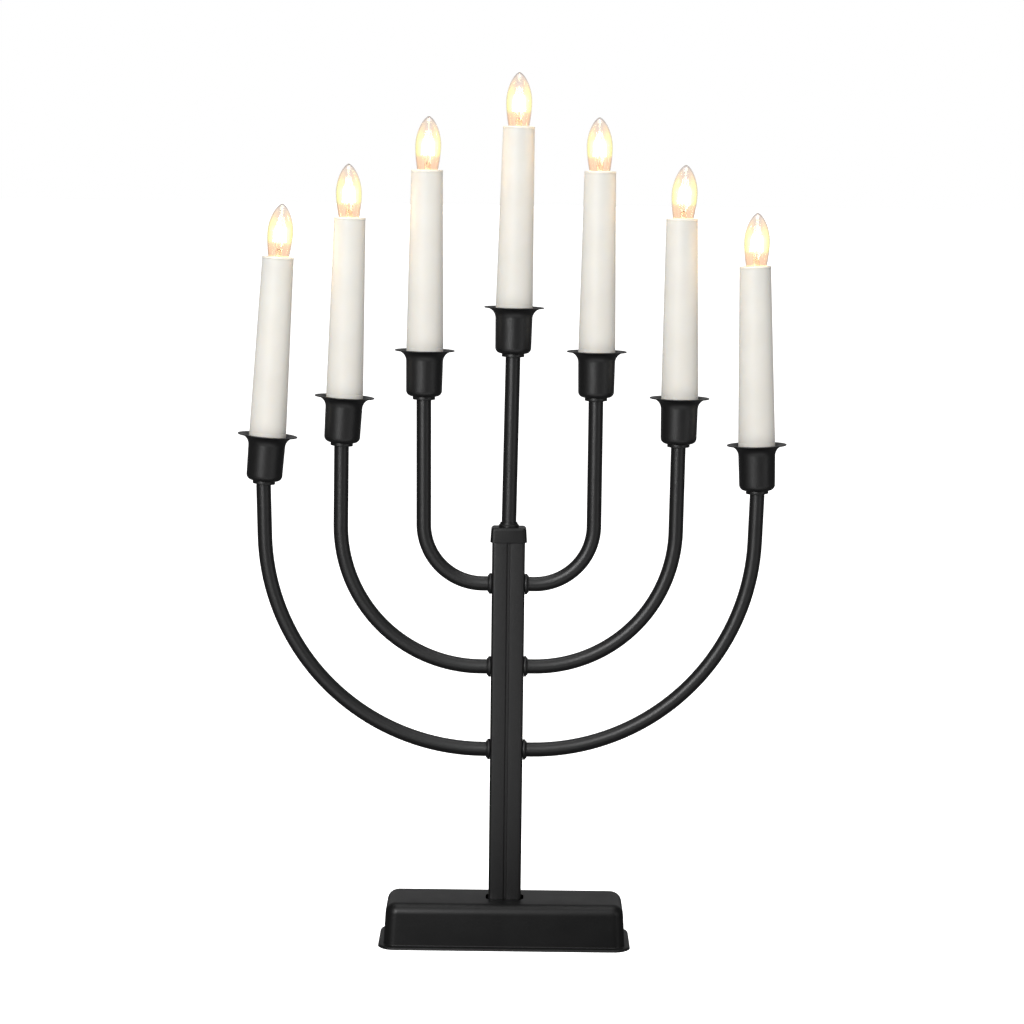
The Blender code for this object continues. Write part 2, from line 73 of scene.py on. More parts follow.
# ---- sizes that the frame doesn't state ---------------------------------------------------
# Each hand-bent arm: its height at the post, where its bend starts, the bend's radius and sweep.
ARMS = {
    "left_outer": (113.3, 13.6, 126.1, 88.5),
    "left_middle": (161.8, 15.3, 80.9, 90.3),
    "left_inner": (210.2, 14.6, 34.1, 89.6),
    "right_inner": (210.1, 14.8, 33.9, 90.0),
    "right_middle": (162.1, 15.3, 80.3, 89.4),
    "right_outer": (113.2, 14.5, 126.5, 88.4),
}
# Each light: its rim's height, and how far its cup and its candle sleeve lean towards +X.
LIGHTS = {
    "left_outer": (294.45, 4.5, 3.35),
    "left_middle": (316.9, 3.2, 1.5),
    "left_inner": (343.85, 0.6, 0.3),
    "centre": (368.75, 0.7, 0.85),
    "right_inner": (344.25, 0.1, 0.2),
    "right_middle": (318.35, 0.3, -0.35),
    "right_outer": (292.15, -1.9, -1.8),
}
KNEE = -29.5                  # where the tube turns onto the cup's axis, below the rim
TUBE_END = -18.0
ARM_START = 6.0               # an arm's inner end, inside the post
STEM_LEAN = 0.73
TUBE_RADIUS = 4.22
TUBE_BORE = 3.2
TUBE_HOLE = TUBE_RADIUS + FIT
COLLAR_RADIUS = 6.0
COLLAR_LENGTH = 2.3
POST_CORNER = 2.0
POST_BORE = (5.5, 3.4)
POST_NOTCH = (3.2, 11.0)      # the wires' way out at the foot of the rear wall
GROOVE_HALF_WIDTH = 0.8
GROOVE_DEPTH = 1.3
GROOVE_LIP = 0.5
CAP_TOP = 243.2
CAP_EDGE = 1.8
CAP_CORNER = 2.6
CAP_RING = (5.8, 1.2)         # radius, and height over the cap's top
CAP_RING_TIP = 2.6
BASE_TOP = (68.4, 19.9)       # half length and depth where the top edge starts to round
BASE_FOOT = (69.8, 21.0)      # half length and depth just above the flange
BASE_EDGE = 6.0
BASE_INNER_EDGE = 4.0
BASE_CORNER = 7.0
BASE_WALL = 2.0
SHELL_CORNER = 5.0
FLANGE_CORNER = 10.0
FLANGE_TOP = 1.4
FLANGE_EDGE = 1.35
COVE_RADIUS = 0.6
POST_SLOT = (11.05, 6.8, 4.5)  # half width, half depth and corner radius
INLET = (3.5, 15.0, 8.4)      # half width, start behind the middle, and top of the notch
CUP_FLOOR = -26.3
CUP_INSIDE_FLOOR = CUP_FLOOR + 2.0
CUP_RADIUS = 10.62
CUP_LIP_RADIUS = 17.05
CUP_LIP_THICKNESS = 0.6
CUP_FLARE = 5.8
NUT_RADIUS = 6.4
NUT_BOTTOM = -28.2
BULB_TIP = 131.2              # heights above a drip cup's rim, along the light's axis
BULB_BELLY = 114.8
BULB_RADIUS = 7.3
BULB_SHOULDER = (5.55, 100.1)
BULB_NECK_RADIUS = 4.0
BULB_NECK_TOP = 94.6
BULB_NECK_BOTTOM = 89.0
GLASS_WALL = 0.45
SLEEVE_SHOULDER = (10.55, -1.9)
SLEEVE_HEAD = (8.9, 99.8)
SPIGOT_RADIUS = 8.3
SLEEVE_BORE = 7.75
HOLDER_BOTTOM = 78.0
HOLDER_TOP = 101.3
HOLDER_SKIRT = 7.4
HOLDER_MOUTH = 6.85
HOLDER_THREAD = 5.25
SHELL_BOTTOM = 86.3
SHELL_RADIUS = 4.52
THREAD_DEPTH = 0.21           # how far the rolled thread swings either side of the shell
THREAD_PITCH = 1.814
STEM_TOP = 105.6
FILAMENT_BOTTOM = 109.6
FILAMENT_TOP = 118.4
FILAMENT_HALF_SPAN = 3.4

# ---- room: metres and watts ---------------------------------------------------------------
# Each area light: its place, its target, its size and its power.
AREA_LIGHTS = {
    "key": ((-0.61, -1.35, 0.70), (0.0, 0.0, 0.30), (0.50, 0.9), 15.5),
    "front_top": ((0.1, -1.5, 1.9), (0.0, 0.0, 0.35), (2.0, 1.0), 7.5),
    "top": ((0.0, 0.1, 1.5), (0.0, 0.0, 0.1), (1.2, 0.9), 7.0),
    "fill": ((1.3, -0.9, 0.5), (0.0, 0.0, 0.28), (0.5, 1.0), 2.0),
    "rear": ((0.0, 1.6, 0.6), (0.0, 0.0, 0.28), (2.4, 1.2), 2.2),
    "table_bounce": ((0.0, -0.45, 0.01), (0.0, -0.45, 1.0), (1.2, 0.5), 1.2),
}
BULB_POWER = 0.016            # the warm light that stands in for each filament's own
BULB_LIGHT_COLOUR = (1.0, 0.62, 0.30)
BULB_LIGHT_RADIUS = 0.004
CAMERA_PLACE = (0.0017, -1.450, 0.436)
CAMERA_DOWN = 7.244           # degrees below the horizon
CAMERA_ROLL = 0.68            # degrees
CAMERA_LENS = 89.82           # mm, on a sensor 36 mm wide
# What each kind of ray sees of the world; every other kind sees WORLD_DIM.
WORLD_DIM = (0.07, 0.07, 0.072, 1.0)
WORLD_SEEN = {
    "Is Diffuse Ray": (0.47, 0.465, 0.455, 1.0),
    "Is Transmission Ray": (0.46, 0.445, 0.44, 1.0),
    "Is Camera Ray": (1.0, 1.0, 1.0, 1.0),
}
FLOOR_HALF_WIDTH = 60000.0


# ---- outlines -----------------------------------------------------------------------------
def fillet(corners, closed=True, steps=6):
    """Rounds an outline given as (x, y, radius) corners; a radius of 0 keeps the corner sharp."""
    points = []
    count = len(corners)
    for i, (x, y, radius) in enumerate(corners):
        at_end = not closed and i in (0, count - 1)
        if radius <= 0.0 or at_end:
            points.append(Vector((x, y)))
            continue
        corner = Vector((x, y))
        before = Vector(corners[i - 1][:2]) - corner
        after = Vector(corners[(i + 1) % count][:2]) - corner
        half = before.angle(after) / 2.0
        reach = min(radius / math.tan(half), 0.98 * before.length, 0.98 * after.length)
        radius = reach * math.tan(half)
        centre = corner + (before.normalized() + after.normalized()).normalized() * (
            radius / math.sin(half))
        start = corner + before.normalized() * reach - centre
        turn = start.angle_signed(corner + after.normalized() * reach - centre)
        for step in range(steps + 1):
            points.append(centre + Matrix.Rotation(-turn * step / steps, 2) @ start)
    return points


def curve(start, handle_a, handle_b, end, steps):
    """Points of a cubic curve, without its first one."""
    points = []
    for step in range(1, steps + 1):
        t = step / steps
        weights = ((1 - t) ** 3, 3 * t * (1 - t) ** 2, 3 * t * t * (1 - t), t ** 3)
        corners = (start, handle_a, handle_b, end)
        points.append(Vector([sum(w * c[k] for w, c in zip(weights, corners)) for k in (0, 1)]))
    return points


def rounded_rectangle(half_x, half_y, radius, z, steps=10):
    points = []
    for quarter in range(4):
        side_x = 1 if quarter in (0, 3) else -1
        side_y = 1 if quarter < 2 else -1
        for step in range(steps + 1):
            angle = math.radians(90.0 * (quarter + step / steps))
            points.append(Vector((side_x * (half_x - radius) + radius * math.cos(angle),
                                  side_y * (half_y - radius) + radius * math.sin(angle), z)))
    return points


def circle(radius, z, count):
    """Points of a circle that pair with those of rounded_rectangle."""
    angles = [2.0 * math.pi * (i + 0.5) / count for i in range(count)]
    return [Vector((radius * math.cos(a), radius * math.sin(a), z)) for a in angles]


# ---- meshes -------------------------------------------------------------------------------
def finish_mesh(name, bm, material, sharp=40.0):
    bmesh.ops.remove_doubles(bm, verts=bm.verts, dist=1e-4)
    bmesh.ops.recalc_face_normals(bm, faces=bm.faces)
    bmesh.ops.scale(bm, vec=(MM, MM, MM), verts=bm.verts)
    mesh = bpy.data.meshes.new(name)
    bm.to_mesh(mesh)
    bm.free()
    mesh.shade_smooth()
    mesh.set_sharp_from_angle(angle=math.radians(sharp))
    mesh.materials.append(material)
    return mesh


def skin(name, rings, material, closed=False, capped=True, sharp=40.0):
    """A surface through rings of points that have equal counts."""
    bm = bmesh.new()
    loops = [[bm.verts.new(point) for point in ring] for ring in rings]
    pairs = list(zip(loops, loops[1:]))
    if closed:
        pairs.append((loops[-1], loops[0]))
    elif capped:
        bm.faces.new(loops[0])
        bm.faces.new(loops[-1])
    count = len(loops[0])
    for low, high in pairs:
        for i in range(count):
            j = (i + 1) % count
            bm.faces.new((low[i], low[j], high[j], high[i]))
    return finish_mesh(name, bm, material, sharp)


def turned(name, outline, material, sides=ROUND, closed=True, sharp=40.0):
    """Turns (radius, height) points about Z; an open outline starts and ends on the axis."""
    bm = bmesh.new()
    verts = [bm.verts.new((p[0], 0.0, p[1])) for p in outline]
    edges = [bm.edges.new(pair) for pair in zip(verts, verts[1:])]
    if closed:
        edges.append(bm.edges.new((verts[-1], verts[0])))
    bmesh.ops.spin(bm, geom=verts + edges, axis=(0, 0, 1), cent=(0, 0, 0),
                   angle=2.0 * math.pi, steps=sides, use_duplicate=False)
    return finish_mesh(name, bm, material, sharp)


def tube_rings(path, radius, sides, across):
    """Rings round a path that lies in one plane; across is that plane's normal."""
    rings = []
    for i, point in enumerate(path):
        along = (path[min(i + 1, len(path) - 1)] - path[max(i - 1, 0)]).normalized()
        up = along.cross(across).normalized()
        rings.append([point + radius * (math.cos(a) * across + math.sin(a) * up)
                      for a in (2.0 * math.pi * k / sides for k in range(sides))])
    return rings


def wire_rings(path, radius, sides=8):
    """Rings round any smooth path, each turned as little as possible from the one before."""
    rings = []
    side = None
    for i, point in enumerate(path):
        along = (path[min(i + 1, len(path) - 1)] - path[max(i - 1, 0)]).normalized()
        side = along.orthogonal() if side is None else side - along * side.dot(along)
        side.normalize()
        other = along.cross(side)
        rings.append([point + radius * (math.cos(a) * side + math.sin(a) * other)
                      for a in (2.0 * math.pi * k / sides for k in range(sides))])
    return rings


def cut(mesh, cutters):
    """Cuts the cutters' meshes out of a mesh, and removes them."""
    scene = bpy.context.scene.collection.objects
    target = bpy.data.objects.new("cut_target", mesh)
    scene.link(target)
    tools = []
    for cutter in cutters:
        tool = bpy.data.objects.new("cutter", cutter)
        scene.link(tool)
        modifier = target.modifiers.new("cut", "BOOLEAN")
        modifier.operation = "DIFFERENCE"
        modifier.solver = "EXACT"
        modifier.object = tool
        tools.append(tool)
    evaluated = target.evaluated_get(bpy.context.evaluated_depsgraph_get())
    result = bpy.data.meshes.new_from_object(evaluated)
    result.name = mesh.name
    for obj in [target, *tools]:
        bpy.data.objects.remove(obj, do_unlink=True)
    return result


def place(name, mesh, body, matrix=None, replaces=()):
    obj = bpy.data.objects.new(name, mesh)
    bpy.context.scene.collection.objects.link(obj)
    if matrix is not None:
        obj.matrix_world = matrix
    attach(obj, body)
    if replaces:
        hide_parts(*replaces)
    return obj


# ---- materials ----------------------------------------------------------------------------
class Nodes:
    """A short way to write a material's node tree."""

    def __init__(self, name):
        self.material = bpy.data.materials.new(name)
        self.material.use_nodes = True
        self.tree = self.material.node_tree
        self.shader = self.tree.nodes["Principled BSDF"]
        self.coords = self.tree.nodes.new("ShaderNodeTexCoord").outputs["Object"]

    def link(self, source, target):
        self.tree.links.new(source, target)

    def noise(self, scale, detail=3.0, roughness=0.55):
        node = self.tree.nodes.new("ShaderNodeTexNoise")
        node.inputs["Scale"].default_value = scale
        node.inputs["Detail"].default_value = detail
        node.inputs["Roughness"].default_value = roughness
        self.link(self.coords, node.inputs["Vector"])
        return node.outputs["Fac"]

    def ramp(self, source, stops):
        node = self.tree.nodes.new("ShaderNodeValToRGB")
        elements = node.color_ramp.elements
        while len(elements) < len(stops):
            elements.new(0.5)
        for element, (position, colour) in zip(elements, stops):
            element.position = position
            element.color = (*colour, 1.0)
        self.link(source, node.inputs["Fac"])
        return node.outputs["Color"]

    def spread(self, source, low, high, from_low=0.3, from_high=0.7):
        node = self.tree.nodes.new("ShaderNodeMapRange")
        node.inputs["From Min"].default_value = from_low
        node.inputs["From Max"].default_value = from_high
        node.inputs["To Min"].default_value = low
        node.inputs["To Max"].default_value = high
        self.link(source, node.inputs["Value"])
        return node.outputs["Result"]

    def bump(self, height, strength, distance, normal=None):
        node = self.tree.nodes.new("ShaderNodeBump")
        node.inputs["Strength"].default_value = strength
        node.inputs["Distance"].default_value = distance
        self.link(height, node.inputs["Height"])
        if normal:
            self.link(normal, node.inputs["Normal"])
        self.link(node.outputs["Normal"], self.shader.inputs["Normal"])
        return node.outputs["Normal"]

    def facing(self, low, high, scale=1.0):
        """0 to scale as the surface turns from low to high, 0 being straight at the viewer."""
        node = self.tree.nodes.new("ShaderNodeLayerWeight")
        node.inputs["Blend"].default_value = 0.5
        return self.spread(node.outputs["Facing"], 0.0, scale, low, high)

    def mix(self, factor, first, second):
        node = self.tree.nodes.new("ShaderNodeMix")
        node.data_type = "RGBA"
        self.link(factor, node.inputs["Factor"])
        self.link(first, node.inputs["A"])
        self.link(second, node.inputs["B"])
        return node.outputs["Result"]

    def set(self, **values):
        for name, value in values.items():
            self.shader.inputs[name.replace("_", " ")].default_value = value


def powder_coat():
    """Satin black powder coat: a fine orange-peel grain with a few paler specks."""
    n = Nodes("black_powder_coat")
    grain = n.noise(1500.0, 4.0, 0.6)
    specks = n.noise(3300.0, 1.0, 0.5)
    tone = n.ramp(grain, ((0.30, (0.0035, 0.0035, 0.0036)), (0.62, (0.0058, 0.0058, 0.0060)),
                          (0.80, (0.0115, 0.0115, 0.0118))))
    n.link(tone, n.shader.inputs["Base Color"])
    n.link(n.spread(specks, 0.34, 0.44), n.shader.inputs["Roughness"])
    coarse = n.bump(grain, 0.50, 0.00018)
    n.bump(specks, 0.20, 0.00005, coarse)
    n.set(Specular_IOR_Level=0.65)
    return n.material


def moulded_black():
    """Black satin moulding of the base and the post's cap, a little rougher than the metal."""
    n = Nodes("black_moulding")
    grain = n.noise(1250.0, 3.0, 0.55)
    broad = n.noise(60.0, 2.0, 0.5)
    tone = n.ramp(grain, ((0.28, (0.0028, 0.0028, 0.0029)), (0.65, (0.0048, 0.0048, 0.0049)),
                          (0.82, (0.0095, 0.0095, 0.0097))))
    n.link(tone, n.shader.inputs["Base Color"])
    n.link(n.spread(broad, 0.38, 0.44), n.shader.inputs["Roughness"])
    n.bump(grain, 0.30, 0.00012)
    n.set(Specular_IOR_Level=0.42)
    return n.material


def ivory_plastic():
    n = Nodes("ivory_plastic")
    broad = n.noise(45.0, 2.0, 0.5)
    fine = n.noise(900.0, 2.0, 0.5)
    n.link(n.ramp(broad, ((0.30, (0.655, 0.635, 0.59)), (0.70, (0.69, 0.67, 0.625)))),
           n.shader.inputs["Base Color"])
    n.link(n.spread(fine, 0.40, 0.50), n.shader.inputs["Roughness"])
    n.bump(fine, 0.05, 0.00005)
    n.set(Specular_IOR_Level=0.3, Subsurface_Weight=0.25, Subsurface_Scale=0.004)
    n.shader.inputs["Subsurface Radius"].default_value = (1.0, 0.75, 0.5)
    return n.material


def cream_plastic():
    n = Nodes("lampholder_plastic")
    fine = n.noise(700.0, 2.0, 0.5)
    n.link(n.ramp(fine, ((0.30, (0.80, 0.755, 0.67)), (0.70, (0.85, 0.81, 0.73)))),
           n.shader.inputs["Base Color"])
    n.link(n.spread(fine, 0.30, 0.42), n.shader.inputs["Roughness"])
    n.bump(fine, 0.06, 0.00005)
    return n.material


def nickel():
    n = Nodes("nickel_plate")
    fine = n.noise(1800.0, 2.0, 0.5)
    n.link(n.ramp(fine, ((0.30, (0.60, 0.57, 0.52)), (0.70, (0.72, 0.69, 0.64)))),
           n.shader.inputs["Base Color"])
    n.link(n.spread(fine, 0.20, 0.34), n.shader.inputs["Roughness"])
    n.set(Metallic=1.0)
    return n.material


def black_insulator():
    n = Nodes("cap_insulator")
    fine = n.noise(1500.0, 3.0, 0.5)
    n.link(n.ramp(fine, ((0.30, (0.010, 0.009, 0.012)), (0.70, (0.020, 0.018, 0.022)))),
           n.shader.inputs["Base Color"])
    n.link(n.spread(fine, 0.10, 0.22), n.shader.inputs["Roughness"])
    return n.material


def plate_steel():
    n = Nodes("dull_black_steel")
    fine = n.noise(1100.0, 4.0, 0.6)
    n.link(n.ramp(fine, ((0.30, (0.035, 0.035, 0.038)), (0.70, (0.060, 0.060, 0.065)))),
           n.shader.inputs["Base Color"])
    n.link(n.spread(fine, 0.45, 0.62), n.shader.inputs["Roughness"])
    n.bump(fine, 0.25, 0.0001)
    n.set(Metallic=0.6)
    return n.material


def wire_insulation():
    n = Nodes("wire_insulation")
    fine = n.noise(400.0, 2.0, 0.5)
    n.link(n.ramp(fine, ((0.30, (0.48, 0.43, 0.33)), (0.70, (0.60, 0.55, 0.44)))),
           n.shader.inputs["Base Color"])
    n.link(n.spread(fine, 0.40, 0.55), n.shader.inputs["Roughness"])
    return n.material


def height_fraction(n, low, high):
    """0 at the height low and 1 at high, along a light's own axis."""
    split = n.tree.nodes.new("ShaderNodeSeparateXYZ")
    n.link(n.coords, split.inputs["Vector"])
    return n.spread(split.outputs["Z"], 0.0, 1.0, low * MM, high * MM)


def bulb_glass(name, painted_glow):
    """Clear glass with painted light: its tint by height stands in for the lit filament's colour,
    amber below it, yellow beside it, grey above.

    The glow is painted light as well, an emission on the glass that stands in for the bloom round
    the filament: white where the wall faces the viewer and fading towards the outline,
    which stays dark.
    """
    n = Nodes(name)
    n.set(Roughness=0.0, IOR=1.47, Transmission_Weight=1.0)
    height = height_fraction(n, BULB_NECK_TOP, BULB_TIP)
    # painted light: the tint by height stands in for the lit filament's colour, grey at the tip
    n.link(n.ramp(height, ((0.30, (1.00, 0.90, 0.78)), (0.42, (1.00, 0.97, 0.82)),
                           (0.68, (1.00, 0.96, 0.86)), (0.80, (0.97, 0.90, 0.86)),
                           (0.90, (0.92, 0.90, 0.89)))),
           n.shader.inputs["Base Color"])
    if painted_glow > 0.0:
        # painted glow: emission colours by height, one where the wall faces the viewer and one
        # towards the outline
        beside = n.ramp(height, ((0.10, (0.26, 0.11, 0.06)), (0.37, (0.46, 0.22, 0.11)),
                                 (0.44, (0.72, 0.66, 0.12)), (0.70, (0.70, 0.60, 0.14)),
                                 (0.80, (0.62, 0.42, 0.16)), (0.90, (0.42, 0.28, 0.16)),
                                 (1.00, (0.08, 0.06, 0.06))))
        before = n.ramp(height, ((0.10, (0.24, 0.12, 0.09)), (0.37, (0.46, 0.22, 0.13)),
                                 (0.44, (1.0, 0.95, 0.85)),
                                 (0.60, (1.0, 0.95, 0.80)), (0.67, (0.56, 0.34, 0.22)),
                                 (0.75, (0.46, 0.26, 0.18)), (0.82, (0.12, 0.08, 0.08)),
                                 (1.00, (0.06, 0.05, 0.05))))
        n.link(n.mix(n.facing(0.05, 0.20), before, beside), n.shader.inputs["Emission Color"])
        n.link(n.facing(0.80, 0.55, painted_glow), n.shader.inputs["Emission Strength"])
    return n.material


def filament_glow():
    n = Nodes("lit_filament")
    fine = n.noise(2500.0, 1.0, 0.5)
    n.link(n.ramp(fine, ((0.3, (1.0, 0.74, 0.36)), (0.7, (1.0, 0.82, 0.48)))),
           n.shader.inputs["Emission Color"])
    n.set(Emission_Strength=60.0, Roughness=0.6)
    return n.material


# ---- the lights -----------------------------------------------------------------------------
def leaning(degrees):
    """The upward direction that leans this far from +Z towards +X."""
    return Vector((math.sin(math.radians(degrees)), 0.0, math.cos(math.radians(degrees))))


def knee_path(name, start, steps=40):
    """A tube's centreline from `start` on its first stretch up to the knee under its cup."""
    rim_height, cup_lean, _ = LIGHTS[name]
    knee_height = rim_height + KNEE * leaning(cup_lean).z
    if name == "centre":
        slope = math.tan(math.radians(STEM_LEAN))
        return [Vector((slope * (z - CAP_TOP), 0.0, z)) for z in (start, knee_height)]
    sign = -1 if name.startswith("left") else 1
    height, bend_start, bend_radius, sweep = ARMS[name]
    points = [(start, height)]
    for step in range(steps + 1):
        angle = math.radians(sweep) * step / steps
        points.append((bend_start + bend_radius * math.sin(angle),
                       height + bend_radius * (1.0 - math.cos(angle))))
    x, z = points[-1]
    points.append((x + (knee_height - z) / math.tan(math.radians(sweep)), knee_height))
    return [Vector((sign * x, 0.0, z)) for x, z in points]


def rim_centre(name):
    return knee_path(name, CAP_TOP)[-1] - KNEE * leaning(LIGHTS[name][1])


def axis_matrix(origin, up):
    """The place, in metres, of a piece that is turned about an axis in the XZ plane."""
    across = Vector((0.0, 1.0, 0.0))
    matrix = Matrix((across.cross(up), across, up)).transposed().to_4x4()
    matrix.translation = origin
    return matrix


def bulb_frames():
    """Each light's bulb axis and its two moving bodies, from the bulb's joint."""
    bulbs = {}
    for joint in frame["joints"]:
        if joint["type"] == "hinge":
            matrix = axis_matrix(Vector(joint["pos_m"]), Vector(joint["axis"]).normalized())
            name = joint["name"].removesuffix("_bulb_turn")
            bulbs[name] = matrix, joint["parent"], joint["child"]
    return bulbs


def cup_outline():
    inside = CUP_INSIDE_FLOOR
    under_lip = -CUP_LIP_THICKNESS
    return fillet([(TUBE_HOLE, CUP_FLOOR, 0.0), (10.2, CUP_FLOOR, 3.3),
                   (CUP_RADIUS, under_lip, CUP_FLARE), (CUP_LIP_RADIUS, under_lip, 0.28),
                   (CUP_LIP_RADIUS, 0.0, 0.28), (9.5, 0.0, CUP_FLARE + CUP_LIP_THICKNESS),
                   (9.1, inside, 1.5), (TUBE_HOLE, inside, 0.0)], steps=10)


def nut_outline():
    top = CUP_FLOOR - SEAM
    return fillet([(TUBE_HOLE, NUT_BOTTOM, 0.0), (NUT_RADIUS, NUT_BOTTOM, 0.35),
                   (NUT_RADIUS, top, 0.25), (TUBE_HOLE, top, 0.0)], steps=5)


def sleeve_outline():
    """A long taper with a fine ring near its foot, and a spigot that stands in the cup."""
    foot = CUP_INSIDE_FLOOR + 2.0 * FIT
    radius, shoulder = SLEEVE_SHOULDER
    slope = (radius - SLEEVE_HEAD[0]) / (SLEEVE_HEAD[1] - shoulder)
    ring = [(radius - slope * (z - shoulder) - depth, z, 0.1)
            for z, depth in ((1.2, 0.0), (1.35, 0.08), (1.65, 0.08), (1.8, 0.0))]
    head = SLEEVE_HEAD[1] + FIT - SEAM
    return fillet([(SPIGOT_RADIUS, foot, 0.2), (SPIGOT_RADIUS, shoulder, 0.1),
                   (radius, shoulder, 0.3), *ring, (SLEEVE_HEAD[0], head, 0.12),
                   (SLEEVE_BORE, head, 0.2), (SLEEVE_BORE, foot, 0.2)], steps=4)


def holder_outline():
    """The visible lip, the skirt inside the sleeve and the bore for the screw cap."""
    under = SLEEVE_HEAD[1] + FIT
    return fillet([(HOLDER_SKIRT, HOLDER_BOTTOM, 0.4), (HOLDER_SKIRT, under, 0.1),
                   (9.0, under, 0.15), (9.0, HOLDER_TOP, 0.45), (HOLDER_MOUTH, HOLDER_TOP, 0.35),
                   (HOLDER_MOUTH, 97.3, 0.3), (HOLDER_THREAD, 95.3, 0.3),
                   (HOLDER_THREAD, HOLDER_BOTTOM + 2.0, 0.2), (1.9, HOLDER_BOTTOM + 2.0, 0.1),
                   (1.9, HOLDER_BOTTOM, 0.1)], steps=5)


def glass_outline(inset, steps):
    """Half of the flame-shaped envelope from the neck up to the tip on the axis."""
    neck = (BULB_NECK_RADIUS - inset, BULB_NECK_TOP)
    shoulder = (BULB_SHOULDER[0] - inset, BULB_SHOULDER[1])
    belly = (BULB_RADIUS - inset, BULB_BELLY)
    tip = BULB_TIP - 1.6 * inset
    points = [Vector((neck[0], BULB_NECK_BOTTOM)), Vector(neck)]
    points += curve(neck, (neck[0] + 0.6, 97.0), (shoulder[0] - 0.3, 98.2), shoulder, steps)
    points += curve(shoulder, (shoulder[0] + 0.7, 102.1), (belly[0], 110.3), belly, steps)
    points += curve(belly, (belly[0], 122.3), (3.25 - 0.5 * inset, tip - 0.5), (0.0, tip),
                    2 * steps)
    return points


def envelope(outer_material, inner_material):
    """One closed shell, open at the neck; its inner wall has a material of its own, which carries
    the painted glow.
    """
    outside = glass_outline(0.0, 12)
    inside = glass_outline(GLASS_WALL, 12)[::-1]
    mesh = turned("bulb_envelope", inside + outside, outer_material, closed=False, sharp=60.0)
    mesh.materials.append(inner_material)
    for polygon in mesh.polygons:
        centre, normal = polygon.center, polygon.normal
        if centre.x * normal.x + centre.y * normal.y < 0.0 or (
                normal.z < -0.5 and centre.z > BULB_BELLY * MM):
            polygon.material_index = 1
    return mesh


def screw_shell(material):
    """The screw cap's thin shell: a rolled thread of E10 pitch on its upper two thirds."""
    sides = 48
    rows = 60
    low, high = SHELL_BOTTOM, BULB_NECK_TOP
    rings = []
    for row in range(rows + 1):
        z = low + (high - low) * row / rows
        fade = min(1.0, (high - z) / 1.6, (z - low) / 0.8)
        ring = []
        for side in range(sides):
            angle = 2.0 * math.pi * side / sides
            wave = math.cos(2.0 * math.pi * z / THREAD_PITCH - angle)
            radius = SHELL_RADIUS + THREAD_DEPTH * fade * wave
            ring.append(Vector((radius * math.cos(angle), radius * math.sin(angle), z)))
        rings.append(ring)
    inner = [[Vector((4.12 * math.cos(a), 4.12 * math.sin(a), z))
              for a in (2.0 * math.pi * side / sides for side in range(sides))]
             for z in (high, low)]
    return skin("screw_shell", rings + inner, material, closed=True, sharp=50.0)


def cap_insulator(material):
    outline = [Vector((0.0, 85.9)), *fillet([(0.0, 85.9, 0.0), (4.1, 85.9, 0.2), (3.9, 85.3, 0.3),
                                             (2.1, 84.6, 0.2), (0.0, 84.6, 0.0)], False)[1:]]
    return turned("cap_insulator", outline, material, 48, closed=False)


def contact_pip(material):
    outline = fillet([(0.0, 84.5, 0.0), (1.7, 84.5, 0.2), (1.5, 83.95, 0.4), (0.0, 83.8, 0.0)],
                     False)
    return turned("contact_pip", outline, material, 32, closed=False)


def stem_mount(material):
    """The glass stem: a flared foot in the neck and a flattened press that holds the leads."""
    outline = fillet([(0.0, 92.0, 0.0), (3.0, 92.0, 0.3), (2.6, 95.0, 1.5), (1.3, 98.5, 2.0),
                      (1.25, STEM_TOP - 1.2, 0.8), (0.0, STEM_TOP, 0.0)], False, 8)
    mesh = turned("stem_mount", outline, material, 32, closed=False, sharp=60.0)
    for vertex in mesh.vertices:
        press = max(0.0, min(1.0, (vertex.co.z - 98.0 * MM) / (4.0 * MM)))
        vertex.co.y *= 1.0 - 0.45 * press
        vertex.co.x *= 1.0 + 0.55 * press
    return mesh


def lead_wires(material):
    """Two leads and two thin supports that rise out of the press and hold the filament."""
    bm = bmesh.new()
    for sign, spread, radius, top in ((-1, FILAMENT_HALF_SPAN, 0.17, FILAMENT_BOTTOM),
                                      (1, FILAMENT_HALF_SPAN, 0.17, FILAMENT_BOTTOM),
                                      (-1, 1.2, 0.09, FILAMENT_TOP),
                                      (1, 1.2, 0.09, FILAMENT_TOP)):
        path = []
        for step in range(13):
            t = step / 12
            path.append(Vector((sign * (0.5 + (spread - 0.5) * t * t), 0.35 * (spread < 2.0),
                                STEM_TOP - 3.0 + (top - STEM_TOP + 3.0) * t)))
        add_wire(bm, path, radius)
    return finish_mesh("lead_wires", bm, material)


def add_wire(bm, path, radius, sides=8):
    loops = [[bm.verts.new(point) for point in ring] for ring in wire_rings(path, radius, sides)]
    bm.faces.new(loops[0])
    bm.faces.new(loops[-1])
    for low, high in zip(loops, loops[1:]):
        for i in range(len(low)):
            j = (i + 1) % len(low)
            bm.faces.new((low[i], low[j], high[j], high[i]))


def filament_coil(material):
    """A fine coil that zigzags between the leads' tips, up and down over the supports."""
    runs = 6
    turns = 22
    per_turn = 8
    coil_radius = 0.42
    corners = []
    for i in range(runs + 1):
        x = FILAMENT_HALF_SPAN * (2.0 * i / runs - 1.0)
        corners.append(Vector((x, 0.0, FILAMENT_BOTTOM if i % 2 == 0 else FILAMENT_TOP)))
    path = []
    for low, high in zip(corners, corners[1:]):
        along = (high - low).normalized()
        outward = along.cross(Vector((0.0, 1.0, 0.0)))
        for step in range(turns * per_turn):
            t = step / (turns * per_turn)
            angle = 2.0 * math.pi * turns * t
            path.append(low.lerp(high, t) + coil_radius * (math.cos(angle) * outward
                                                           + math.sin(angle) * Vector((0, 1, 0))))
    bm = bmesh.new()
    add_wire(bm, path, 0.08, 5)
    return finish_mesh("filament_coil", bm, material)


